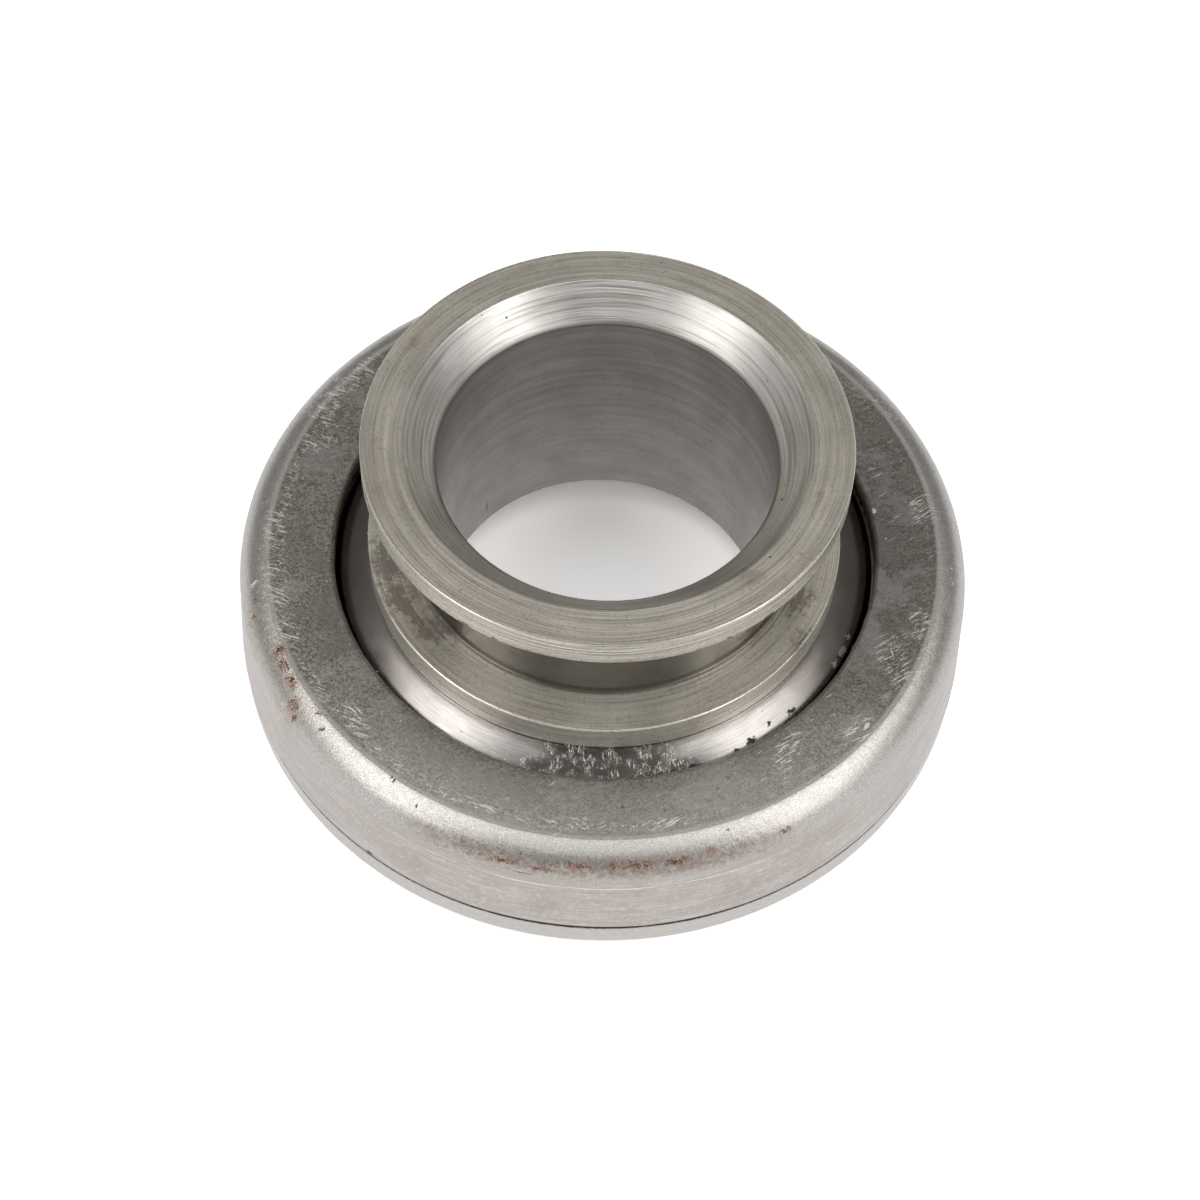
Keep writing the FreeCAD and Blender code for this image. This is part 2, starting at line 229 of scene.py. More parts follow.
def paint(piece, layer, grid, spots):
    """Wear as one number per point of a piece, kept on its mesh under a name.

    Each spot is (azimuth, radius, height, across, along, up, lean) in degrees and mm. With d
    the distance from its centre in units of its own half sizes, it adds 1 - d / 1.5 where
    that is above 0, so a spot is 1 in its middle, 1/3 at its edge and 0 half as far again.
    Where spots overlap the larger counts.
    """
    radius, height, around = grid
    x, y = radius * np.cos(around), radius * np.sin(around)
    cover = np.zeros(radius.shape)
    for azimuth, r, z, across, along, up, lean in map(full_spot, spots):
        centre, turn = math.radians(azimuth), math.radians(azimuth + lean)
        east, north = x - r * math.cos(centre), y - r * math.sin(centre)
        out = (east * math.cos(turn) + north * math.sin(turn)) / across
        side = (north * math.cos(turn) - east * math.sin(turn)) / along
        away = np.sqrt(out ** 2 + side ** 2 + ((height - z) / up) ** 2)
        cover = np.maximum(cover, 1 - away / 1.5)
    layer = piece.data.attributes.new(layer, "FLOAT", "POINT")
    layer.data.foreach_set("value", cover.astype(np.float32).reshape(-1))


# %% [markdown]
# ## The release sleeve
#
# The turned carrier: a bore for the gearbox's quill with a 45 degree mouth, two flanges, and
# the groove between them in which the release fork's fingers sit. Its section is read off
# the drawing sizes corner by corner.

# %% Release sleeve
sleeve_section = walk_section([
    (BORE + 0.5, TAIL, 0.1), (JOURNAL, TAIL, 0.2), (JOURNAL, SEAT, 0.1), (FLANGE - 0.05, SEAT, 0.2),
    (FLANGE - 0.05, LOW_FACE, 0.22), (GROOVE, LOW_FACE, 0.4), (GROOVE, FORK_FACE, 0.4),
    (FLANGE, FORK_FACE, 0.22), (FLANGE, TOP, 0.25), (BORE + MOUTH, TOP, 0.14),
    (BORE, TOP - MOUTH, 0.2), (BORE, TAIL + 0.5, 0.1)], longest=1.6)
sleeve_grid = carry_round(sleeve_section, AROUND)
release_sleeve = make_piece("release_sleeve_turned", sleeve_grid,
                            "sleeve", "release_sleeve")

# %% [markdown]
# ## The inner race
#
# It stands still with the sleeve. Only its crowned shoulder shows, a bright dish between the
# sleeve's flange and the shell's hole. The crown is an arc of 10.6 mm radius, so the lamps
# draw short bright streaks on it.

# %% Inner race
def arc_points(start, end, radius, steps):
    """Points on the arc from start to end that bulges to its right, without its two ends."""
    start, end = np.array(start, float), np.array(end, float)
    chord = end - start
    half = np.linalg.norm(chord) / 2
    side = np.array([chord[1], -chord[0]]) / (2 * half)
    centre = (start + end) / 2 - side * math.sqrt(radius ** 2 - half ** 2)
    first, last = start - centre, end - centre
    sweep = 2 * math.asin(half / radius)
    share = np.linspace(0, 1, steps + 1)[1:-1, None]
    return centre + along_arc(first, last, sweep, share)


crown = arc_points((28.49, 14.86), (FLANGE, SEAT), 10.6, 12)
race_section = walk_section([
    (JOURNAL, TAIL + 0.8, 0.3), (27.398, TAIL + 0.8, 0.3), (27.398, 13.6, 0.3),
    (28.49, 14.1, 0.3), (28.43, 14.89, 0.3)]
    + [(r, z, 0) for r, z in crown[1:]] + [(FLANGE, SEAT, 0), (JOURNAL, SEAT, 0.1)], longest=1.6)
inner_race = make_piece("inner_race_ground", carry_round(race_section, AROUND),
                        "sleeve", "inner_race")

# %% [markdown]
# ## The thrust ring
#
# The race that turns. Outside, only its rim shows under the shell, with a 2 mm round at the
# table. Its flat underside is the contact face that the clutch's levers press on.

# %% Thrust ring
ring_section = walk_section([
    (22.6, 0.0, 0.6), (RIM, 0.0, 2.0), (RIM, 4.35, 0.3), (37.946, 4.35, 0),
    (37.426, 12.578, 0.2), (35.3, 12.578, 0.2), (35.1, 9.2, 0.5), (31.0, 4.9, 2.5),
    (28.098, 6.5, 0.4), (28.098, 3.4, 0.2), (22.6, 3.4, 0.6)],
    longest=1.6)
thrust_ring = make_piece("thrust_ring_turned", carry_round(ring_section, AROUND),
                         "rotor", "thrust_ring")

# %% [markdown]
# ## The bearing shell
#
# A cup of 1.6 mm sheet, drawn over a die and pressed on the ring. Drawn sheet is never as
# true as turned steel: the hole runs a little to one side and its edge waves, the flat is
# slightly uneven, and the skirt's lower edge wanders along the seam. These faults are what
# makes it look pressed, so they are in the surface and not in a bump.
#
# The flat doesn't run smoothly into the round corner: there is a crease of ten degrees
# between them, which gives the highlight its crisp upper edge.

# %% Bearing shell
tilt = np.radians(np.concatenate([np.linspace(86.38, 16, 12), [12.5, 10.6, 10.0]]))
corner_arc = [(35.46 + 3.5 * math.sin(t), 13.551 + 3.5 * math.cos(t), 0) for t in tilt]
shell_section = walk_section([
    (HOLE, FLAT - SHEET, 0.1), (37.768, FLAT - SHEET, 1.9),
    (SHELL - SHEET, 4.65, 0.1), (SHELL, 4.65, 0.25)]
    + corner_arc + [(36.0, FLAT, 0), (35.8, FLAT, 0), (HOLE, FLAT, 0.4)], longest=0.75)
shell_r, shell_z, shell_a = carry_round(shell_section, AROUND)
sections = (sleeve_section, race_section, ring_section, shell_section)
print("section points:", [len(section) for section in sections])

# The hole runs out by an eighth of a millimetre and waves a little more.
near_hole = np.clip((31.5 - shell_r) / 2.4, 0, 1) ** 2
RUNOUT = 0.12
hole_drift = RUNOUT * np.cos(shell_a) + 0.05 * slow_waves(shell_a, (3, 5, 7, 11), 4)
hole_drift += 0.02 * slow_waves(shell_a, (23, 31, 43, 59), 5)
shell_r = shell_r + near_hole * hole_drift
# The flat and the corner are uneven where the sheet was drawn over the die.
on_top = np.clip((shell_z - 13.0) / 3.0, 0, 1)
uneven = 0.012 * slow_waves(shell_a, (2, 3, 5, 8), 6)
uneven = uneven + 0.004 * slow_waves(shell_a + 0.1 * shell_r, (17, 23, 29), 7)
shell_z = shell_z - np.abs(uneven) * on_top
# The skirt's lower edge wanders, and is nicked in two places.
near_seam = np.clip((5.6 - shell_z) / 0.9, 0, 1)
edge = 0.03 * slow_waves(shell_a, (2, 5, 9, 14), 8)
edge = edge + 0.16 * bump_at(shell_a, 234.6, 0.55) - 0.10 * bump_at(shell_a, 278.2, 1.4)
shell_z = shell_z + near_seam * edge
shell_grid = (shell_r, shell_z, shell_a)
bearing_shell = make_piece("bearing_shell_pressed", shell_grid,
                           "rotor", "bearing_shell")

# %% [markdown]
# ## Shader nodes, in few words
#
# A material is a small program. These helpers add one node each, set or link its sockets by
# name, and hand back what comes out of it. Patterns are laid out in millimetres on the
# object's own coordinates, so they stay on the steel when it turns.

# %% Node helpers
def join(tree, value, socket):
    """Link an output to a socket, or set the socket. A colour may leave out its alpha."""
    if isinstance(value, bpy.types.NodeSocket):
        tree.links.new(value, socket)
    elif socket.type == "RGBA":
        socket.default_value = (*value[:3], 1)
    else:
        socket.default_value = value


def add(tree, kind, options=None, **sockets):
    """One shader node. Sockets are named with _ for a space, and linked or set."""
    node = tree.nodes.new("ShaderNode" + kind)
    for name, value in (options or {}).items():
        setattr(node, name, value)
    for name, value in sockets.items():
        join(tree, value, node.inputs[name.replace("_", " ")])
    return node


def calc(tree, operation, *values, kind="Math"):
    """Arithmetic on one to three values."""
    node = add(tree, kind, {"operation": operation})
    for value, socket in zip(values, node.inputs):
        join(tree, value, socket)
    return node.outputs[0]


def length(tree, vector):
    """How long a vector is."""
    return add(tree, "VectorMath", {"operation": "LENGTH"}, Vector=vector).outputs["Value"]


def times(tree, first, *others):
    """The product of all values."""
    for value in others:
        first = calc(tree, "MULTIPLY", first, value)
    return first


def most(tree, first, *others):
    """The largest of all values."""
    for value in others:
        first = calc(tree, "MAXIMUM", first, value)
    return first


def plus(tree, base, *parts):
    """A base with patterns added to it, each as (pattern, amount)."""
    for pattern, amount in parts:
        base = calc(tree, "MULTIPLY_ADD", pattern, amount, base)
    return base


def fade(tree, value, low, high, to_low=0.0, to_high=1.0):
    """Smooth step: to_low below low, to_high above high. With low above high it runs down."""
    node = add(tree, "MapRange", {"interpolation_type": "SMOOTHSTEP"}, Value=value)
    for number, limit in enumerate((low, high, to_low, to_high), start=1):
        join(tree, limit, node.inputs[number])
    return node.outputs[0]


def window(tree, value, out_low, in_low, in_high, out_high):
    """1 between the two inner limits, 0 outside the two outer ones."""
    return times(tree, fade(tree, value, out_low, in_low), fade(tree, value, out_high, in_high))


def mix_colour(tree, share, first, second, how="MIX"):
    """Two colours mixed by a share."""
    node = add(tree, "Mix", {"data_type": "RGBA", "blend_type": how})
    for number, value in ((0, share), (6, first), (7, second)):
        join(tree, value, node.inputs[number])
    return node.outputs[2]


def two_tone(tree, pattern, low, high, dark, light):
    """A dark tone where a pattern is below low, a light one above high."""
    return mix_colour(tree, fade(tree, pattern, low, high), dark, light)


def lay(tree, colour, *layers):
    """Tones laid over a colour one after the other, each as (mask, strength, tone)."""
    for mask, strength, tone in layers:
        colour = mix_colour(tree, times(tree, mask, strength), colour, tone)
    return colour


def ramp(tree, value, *stops):
    """A colour that runs through (position, colour) stops while a value goes from 0 to 1."""
    node = add(tree, "ValToRGB", Fac=value)
    line = node.color_ramp.elements
    line[0].position, line[1].position = stops[0][0], stops[-1][0]
    for position, _ in stops[1:-1]:
        line.new(position)
    for element, (_, colour) in zip(line, stops):
        element.color = (*colour, 1)
    return node.outputs["Color"]


def noise(tree, place, per_mm, detail=3.0, rough=0.55):
    """Cloudy noise from 0 to 1 on a place in millimetres."""
    node = add(tree, "TexNoise", Vector=place, Scale=per_mm, Detail=detail, Roughness=rough)
    return node.outputs["Fac"]


def shader_group(name, **inputs):
    """Makes a node group of the function below it, which hands back the outputs by name.

    The inputs are named with _ for a space. One that is None is a place, the others numbers.
    """
    kinds = {"VALUE": "NodeSocketFloat", "VECTOR": "NodeSocketVector", "RGBA": "NodeSocketColor"}

    def build(fill):
        group = bpy.data.node_groups.new(name, "ShaderNodeTree")
        for socket, default in inputs.items():
            kind = kinds["VECTOR" if default is None else "VALUE"]
            label = socket.replace("_", " ")
            made = group.interface.new_socket(label, in_out="INPUT", socket_type=kind)
            if default is not None:
                made.default_value = default
        outputs = fill(group, group.nodes.new("NodeGroupInput").outputs)
        for socket, value in outputs.items():
            group.interface.new_socket(socket, in_out="OUTPUT", socket_type=kinds[value.type])
        end = group.nodes.new("NodeGroupOutput").inputs
        for socket, value in outputs.items():
            join(group, value, end[socket])
        return group
    return build


def use(tree, group, **sockets):
    """A group placed in a material with its own values. Gives its outputs, or its only one."""
    node = tree.nodes.new("ShaderNodeGroup")
    node.node_tree = group
    for name, value in sockets.items():
        join(tree, value, node.inputs[name.replace("_", " ")])
    return node.outputs[0] if len(node.outputs) == 1 else node.outputs


# %% [markdown]
# ## Where on the steel
#
# Everything on a turned piece depends on its radius, its height and the direction round the
# axis. One group works these out from Object coordinates, in millimetres.

# %% Group: place on a round piece
@shader_group("round place")
def round_place(group, put):
    spot = add(group, "TexCoord").outputs["Object"]
    place = add(group, "VectorMath", {"operation": "SCALE"}, Vector=spot, Scale=1 / MM).outputs[0]
    x, y, height = add(group, "SeparateXYZ", Vector=place).outputs
    radius = length(group, add(group, "CombineXYZ", X=x, Y=y).outputs[0])
    return {"Place": place, "Radius": radius, "Height": height,
            "Cosine": calc(group, "DIVIDE", x, radius), "Sine": calc(group, "DIVIDE", y, radius)}


# %% [markdown]
# ## Lines that a lathe leaves
#
# A cutting tool leaves fine grooves round the axis. Noise that only depends on radius and
# height would give perfect rings. Real ones fade in and out as the eye goes round, so the
# noise has four dimensions: radius, height, and the cosine and sine of the direction. Those
# last two bring it back to where it began, so there is no seam.

# %% Group: turning lines
@shader_group("turning lines", Per_mm=6.0, Wander=2.0, Seed=0.0, Detail=3.0)
def turning_lines(group, put):
    spot = use(group, round_place)
    where = add(group, "CombineXYZ", X=times(group, spot["Radius"], put["Per mm"]),
                Y=times(group, spot["Height"], put["Per mm"]),
                Z=plus(group, put["Seed"], (spot["Cosine"], put["Wander"]))).outputs[0]
    lines = add(group, "TexNoise", {"noise_dimensions": "4D"}, Vector=where, Scale=1.0,
                W=times(group, spot["Sine"], put["Wander"]), Detail=put["Detail"], Roughness=0.6)
    return {"Lines": lines.outputs["Fac"]}


# %% [markdown]
# ## Specks and flecks
#
# Dust, pits and tiny chips are points of light or dark with nothing between them. Voronoi
# cells give one point each, and the cell's chance colour decides whether it is there and how
# large it is.

# %% Group: specks
@shader_group("specks", Place=None, Per_mm=0.8, Share=0.3, Size=0.2)
def specks(group, put):
    cells = add(group, "TexVoronoi", Vector=put["Place"], Scale=put["Per mm"], Randomness=1.0)
    chance = add(group, "SeparateXYZ", Vector=cells.outputs["Color"]).outputs
    there = calc(group, "LESS_THAN", chance[0], put["Share"])
    size = times(group, put["Size"], plus(group, 0.35, (chance[1], 1.0)))
    inside = fade(group, cells.outputs["Distance"], size, times(group, size, 0.6))
    return {"Mask": times(group, there, inside)}


# %% [markdown]
# ## Flecks with a direction
#
# Scuffs are short strokes that run one way. The same noise does for them, with different
# scales round the axis and across it: few per mm along a stroke, many per mm beside it.

# %% Group: flecks
@shader_group("flecks", Around=3.0, Across=0.7, Seed=0.0, Low=0.58, High=0.66)
def flecks(group, put):
    spot = use(group, round_place)
    ring = times(group, put["Around"], 30.0)
    lift = calc(group, "SUBTRACT", spot["Radius"], spot["Height"])
    where = add(group, "CombineXYZ", X=times(group, spot["Cosine"], ring),
                Y=times(group, spot["Sine"], ring),
                Z=plus(group, put["Seed"], (lift, put["Across"]))).outputs[0]
    scuffed = noise(group, where, 1.0, 3.0, 0.6)
    return {"Mask": fade(group, scuffed, put["Low"], put["High"])}


# %% [markdown]
# ## Fine tangled scratches
#
# Where noise passes through its middle value it draws a thin winding line. Three such noises,
# each stretched along its own direction, give a tangle of hair scratches.

# %% Group: threads
@shader_group("threads", Place=None, Per_mm=0.8, Thin=0.02)
def threads(group, put):
    tangle = []
    for turn, seed in ((0.5, 0.0), (1.9, 40.0), (2.7, 80.0)):
        laid = add(group, "Mapping", Vector=put["Place"], Location=(seed, seed, 0),
                   Rotation=(0, 0, turn), Scale=(1.0, 0.3, 1.0)).outputs[0]
        drawn = add(group, "TexNoise", Vector=laid, Scale=put["Per mm"], Detail=0.0).outputs["Fac"]
        away = calc(group, "ABSOLUTE", calc(group, "SUBTRACT", drawn, 0.5))
        tangle.append(fade(group, away, put["Thin"], times(group, put["Thin"], 0.4)))
    return {"Mask": most(group, *tangle)}


# %% [markdown]
# ## Straight strokes
#
# A scuff is a bundle of short straight scratches that run one way. Noise is squeezed along a
# direction in the flat, so that only thin streaks of it pass the threshold. A Mapping node of
# the Texture kind turns first and stretches after, so the streaks follow the turn.

# %% Group: strokes
@shader_group("strokes", Place=None, Per_mm=3.0, Turn=0.0, Low=0.60, High=0.68)
def strokes(group, put):
    turn = add(group, "CombineXYZ", X=0.0, Y=0.0, Z=put["Turn"]).outputs[0]
    laid = add(group, "Mapping", {"vector_type": "TEXTURE"}, Vector=put["Place"], Rotation=turn,
               Scale=(1.0, 7.0, 1.0)).outputs[0]
    streaks = noise(group, laid, put["Per mm"], 2.0, 0.6)
    return {"Mask": fade(group, streaks, put["Low"], put["High"])}


# %% [markdown]
# ## Marks at known places
#
# A scratch or a stain sits where it sits. Each mark is a soft ball, stretched to its size and
# turned to face the axis by one Mapping node. The place is shaken by noise first, so its edge
# is ragged. Cycles can only hold about twenty such marks in one material, so the larger ones
# are painted on the mesh instead and read back here.

# %% Marks
def shaken(tree, place, per_mm, amount):
    """The place, moved by up to about `amount` mm of noise."""
    shake = add(tree, "TexNoise", Vector=place, Scale=per_mm, Detail=3.0).outputs["Color"]
    centred = calc(tree, "SUBTRACT", shake, (0.5, 0.5, 0.5), kind="VectorMath")
    return calc(tree, "MULTIPLY_ADD", centred, (amount * 2,) * 3, place, kind="VectorMath")


def marks(tree, place, spots, soft=0.5):
    """The strongest of several marks: (azimuth, radius, height, across, along, up, lean) each.

    Sizes are half sizes in mm: across is away from the axis, along is round it. Lean turns
    the mark in degrees from the ring's own direction.
    """
    strongest = 0.0
    for azimuth, radius, height, across, along, up, lean in map(full_spot, spots):
        turn = math.radians(azimuth)
        centre = (radius * math.cos(turn), radius * math.sin(turn), height)
        facing = (0.0, 0.0, turn + math.radians(lean))
        local = add(tree, "Mapping", {"vector_type": "TEXTURE"}, Vector=place, Location=centre,
                    Rotation=facing, Scale=(across, along, up)).outputs[0]
        strongest = most(tree, fade(tree, length(tree, local), 1.0, 1.0 - soft), strongest)
    return strongest


def worn(tree, layer):
    """A layer of wear that was painted on the mesh."""
    return add(tree, "Attribute", {"attribute_name": layer}).outputs["Fac"]


# %% [markdown]
# ## Rust
#
# Rust isn't one brown. It runs from nearly black through red-brown to a paler brown, changes
# within a tenth of a millimetre, and is dull. The group gives its colour and its ragged cover.

# %% Group: rust
@shader_group("rust", Place=None, Cover=0.0, Ragged=1.0)
def rust(group, put):
    tone = ramp(group, noise(group, put["Place"], 1.7, 3.0),
                (0.36, (0.075, 0.042, 0.03)),
                (0.50, (0.20, 0.10, 0.068)),
                (0.66, (0.34, 0.20, 0.135)))
    fine = calc(group, "SUBTRACT", noise(group, put["Place"], 4.4, 4.0, 0.7), 0.5)
    reach = plus(group, put["Cover"], (fine, put["Ragged"]))
    mask = times(group, fade(group, reach, 0.52, 0.72), fade(group, put["Cover"], 0.0, 0.1))
    return {"Colour": tone, "Mask": mask}


# %% A steel material to start from
def new_steel(name):
    """A metal, its tree and the place on the piece."""
    material = bpy.data.materials.new(name)
    material.use_nodes = True
    return material, material.node_tree, use(material.node_tree, round_place)


def finish_steel(material, colour, rough, relief, metal=1.0):
    """Join colour, roughness, metal and a relief in mm to the shader. Gives the material."""
    tree = material.node_tree
    bump = add(tree, "Bump", Height=relief, Distance=MM, Strength=1.0).outputs[0]
    values = {"Base Color": colour, "Roughness": rough, "Metallic": metal, "Normal": bump}
    for name, value in values.items():
        join(tree, value, tree.nodes["Principled BSDF"].inputs[name])
    return material


def dress(piece, material):
    """Put one material on a piece, in place of any that it has."""
    piece.data.materials.clear()
    piece.data.materials.append(material)


# %% [markdown]
# ## Turned steel
#
# The sleeve is bare turned steel, warm grey, with rings everywhere. The bore is duller and
# darker than the faces. The groove between the flanges is coloured nearly black as painted
# shade, and old grease stains it in places. A metal this dull also scatters a little light
# evenly, so Metallic stays just under 1.

# %% Where the sleeve is marked
sleeve_grime = [
    (311.6, 21.5, 35.3, 1.6, 1.7, 1), (324.5, 22.9, 35.3, 0.6, 1.2, 1),
    (193.6, 21.5, 35.3, 0.7, 1.2, 1), (183.5, 23.8, 35.3, 0.5, 0.9, 1),
    (150, 23.5, 35.3, 0.5, 1.5, 1), (344, 22.6, 35.3, 0.6, 1, 1), (204, 20.6, 23, 1.5, 3.4, 4.2),
    (220, 20.8, 20.8, 1.4, 3.2, 2.2), (195, 23.1, 19.6, 2.1, 3.8, 1),
    (206.5, 23.3, 19.6, 1.9, 3.8, 1), (218, 22.3, 19.6, 1.5, 3.2, 1),
    (321, 20.5, 21.3, 1.2, 2.6, 2), (327.5, 24.2, 19.6, 0.8, 2, 0.8), (338, 22, 19.6, 1.2, 3, 1)]
paint(release_sleeve, "grime", sleeve_grid, sleeve_grime)
sleeve_pits = [
    (344, 18.4, 33, 0.22, 0.3, 0.5), (300, 25.05, 32.6, 0.2, 0.5, 0.2),
    (238, 25.05, 32.6, 0.2, 0.9, 0.2), (246, 25.05, 32.5, 0.2, 0.5, 0.2),
    (311, 25.05, 32.6, 0.2, 0.8, 0.25), (139.6, 17.5, 6.8, 0.2, 0.12, 1.4)]

# %% Turned steel
def make_turned_steel():
    material, tree, at = new_steel("turned steel")
    place, radius, height, _, sine = at
    fine = use(tree, turning_lines, Per_mm=7.0, Wander=2.0, Detail=1.0)
    broad = use(tree, turning_lines, Per_mm=1.5, Wander=1.2, Seed=7.0, Detail=5.0)
    thin = use(tree, turning_lines, Per_mm=2.6, Wander=0.45, Seed=23.0, Detail=2.0)
    cut = use(tree, turning_lines, Per_mm=3.4, Wander=1.6, Seed=31.0, Detail=2.0)
    grain = noise(tree, place, 2.6, 4.0, 0.7)
    cloud = noise(tree, place, 0.22, 4.0)
    # Where on the sleeve.
    in_bore = fade(tree, radius, BORE + 0.4, BORE)
    on_mouth = times(tree, fade(tree, height, 31.9, 32.1), fade(tree, radius, 20.9, 20.8))
    in_groove = times(tree, window(tree, radius, 20.0, 20.2, 20.5, 20.9),
                      window(tree, height, 19.4, 19.7, 32.2, 32.4))
    on_side = fade(tree, radius, 24.75, 24.95)
    lightened_lower_flange = times(tree, window(tree, height, 16.1, 16.5, 19.7, 19.9),
                       fade(tree, radius, 20.5, 20.9))
    # Bare steel: rings, lines and grain, with painted light on the lower flange, which sits under
    # the upper one and is given a lighter steel colour.
    furrow = (0.34, 0.315, 0.275)
    colour = two_tone(tree, broad, 0.38, 0.64, (0.55, 0.525, 0.475), (0.71, 0.685, 0.635))
    colour = lay(tree, colour,
        # Painted light: the lower flange is coloured lighter than the rest of the steel.
        (lightened_lower_flange, 0.85, (0.90, 0.87, 0.80)),
        (fade(tree, fine, 0.52, 0.36), 0.45, (0.36, 0.34, 0.30)),
        (fade(tree, grain, 0.48, 0.32), 0.6, furrow),
        (fade(tree, thin, 0.60, 0.66), 0.32, (0.86, 0.84, 0.79)),
        (fade(tree, thin, 0.40, 0.35), 0.35, furrow))
    colour = mix_colour(tree, 1.0, colour, (1.0, 0.982, 0.95), "MULTIPLY")
    # The bore is dull and brownish, paler towards its lower end.
    bore_specks = use(tree, specks, Place=place, Per_mm=1.3, Share=0.12, Size=0.16)
    bore = two_tone(tree, broad, 0.3, 0.7, (0.165, 0.147, 0.137), (0.225, 0.202, 0.188))
    bore = lay(tree, bore,
        (fade(tree, height, 24.0, 6.0), 0.5, (0.32, 0.29, 0.27)),
        (fade(tree, grain, 0.50, 0.34), 0.25, (0.11, 0.095, 0.085)),
        (bore_specks, 0.7, (0.10, 0.06, 0.05)))
    # The mouth's tone is a painted reflection tone set by side: neutral grey behind, where the
    # lamps' highlights fall, and warm in front. Its tool marks are the deepest.
    colour = lay(tree, colour,
        (on_mouth, fade(tree, sine, -0.2, 0.5, 0.1, 0.75), (0.60, 0.60, 0.60)),
        (fade(tree, cut, 0.50, 0.36), plus(tree, 0.2, (on_mouth, 0.45)), (0.30, 0.285, 0.26)),
        (fade(tree, cut, 0.52, 0.66), 0.25, (0.82, 0.81, 0.79)),
        # Painted shade: the groove between the flanges is coloured nearly black.
        (in_groove, 0.93, (0.085, 0.08, 0.07)),
        (in_bore, 1.0, bore))
    # Grime: stains at their places, the groove's lower corner, and the upper flange's lower edge.
    grime = worn(tree, "grime")
    mottle = noise(tree, place, 1.1, 5.0, 0.7)
    stain = fade(tree, plus(tree, grime, (mottle, 2.0), (broad, 1.6)), 2.02, 2.60)
    stain = times(tree, stain, fade(tree, grime, 0.0, 0.15),
                  fade(tree, height, 34.9, 35.2, 0.85, 0.5))
    ragged = plus(tree, height, (grain, 1.0))
    corner = times(tree, in_groove, fade(tree, ragged, 21.3, 19.9))
    in_patches = fade(tree, noise(tree, place, 1.5, 3.0), 0.48, 0.6)
    edge = times(tree, fade(tree, ragged, 33.2, 32.9), fade(tree, radius, 24.6, 24.9),
                 in_patches, fade(tree, height, 30.0, 31.0))
    film = most(tree, times(tree, corner, 0.1), times(tree, edge, 0.75), stain)
    dark_specks = use(tree, specks, Place=place, Per_mm=0.8, Share=0.08, Size=0.10)
    pits = most(tree, marks(tree, shaken(tree, place, 3.0, 0.3), sleeve_pits, 0.4), dark_specks)
    colour = lay(tree, colour,
        (film, 0.88, (0.075, 0.054, 0.037)),
        (pits, 0.75, (0.05, 0.04, 0.035)))
    rough = plus(tree, fade(tree, cloud, 0.3, 0.7, 0.20, 0.29),
                 (in_bore, 0.20), (on_mouth, 0.11), (film, 0.25))
    metal = plus(tree, fade(tree, cloud, 0.3, 0.7, 0.80, 0.72),
                 (film, -0.3), (lightened_lower_flange, -0.15), (on_side, -0.04))
    # The lines are deeper on the flanges' rims, and shallow in the bore and the groove.
    relief = times(tree, plus(tree, 0.0, (fine, 0.022), (broad, 0.03), (cut, 0.02)),
                   plus(tree, 1.0, (on_side, 1.4)),
                   plus(tree, 1.0, (most(tree, in_bore, in_groove), -0.8)))
    relief = plus(tree, relief, (grain, 0.004), (pits, -0.04))
    return finish_steel(material, colour, rough, relief, metal)


dress(release_sleeve, make_turned_steel())

# %% [markdown]
# ## Ground steel
#
# The race's crown was ground and is the brightest surface where a lamp meets it, and almost
# black where none does: a polished convex band mirrors the dark room beside the lamps. In
# front it is smeared with dried grease, scratched through by dust. At the left and right
# sides its colour is darkened as painted shade.

# %% Where the race is marked
dish_smear = [
    (259, 27.6, 15.6, 2, 3.4, 2.4), (265, 26.4, 15.7, 4.6, 5.2, 3.4),
    (273, 26.4, 15.7, 5, 6.2, 3.4), (281, 26.8, 15.7, 3.8, 5, 3.4),
    (288, 27.8, 15.5, 1.6, 3.6, 2.4)]
dish_dirt = [
    (304.7, 27.9, 15.2, 0.5, 0.7, 0.5), (310.3, 27.4, 15.5, 0.35, 0.35, 0.4),
    (316.3, 27.7, 15.4, 0.35, 0.7, 0.5), (301, 28, 15.1, 0.3, 0.5, 0.5),
    (291, 28, 15.1, 0.25, 0.9, 0.5)]
green_crust = [
    (335.7, 27.9, 15.2, 0.35, 0.9, 0.5), (332, 27.9, 15.2, 0.25, 0.7, 0.5),
    (339.5, 27.8, 15.2, 0.22, 0.5, 0.5)]

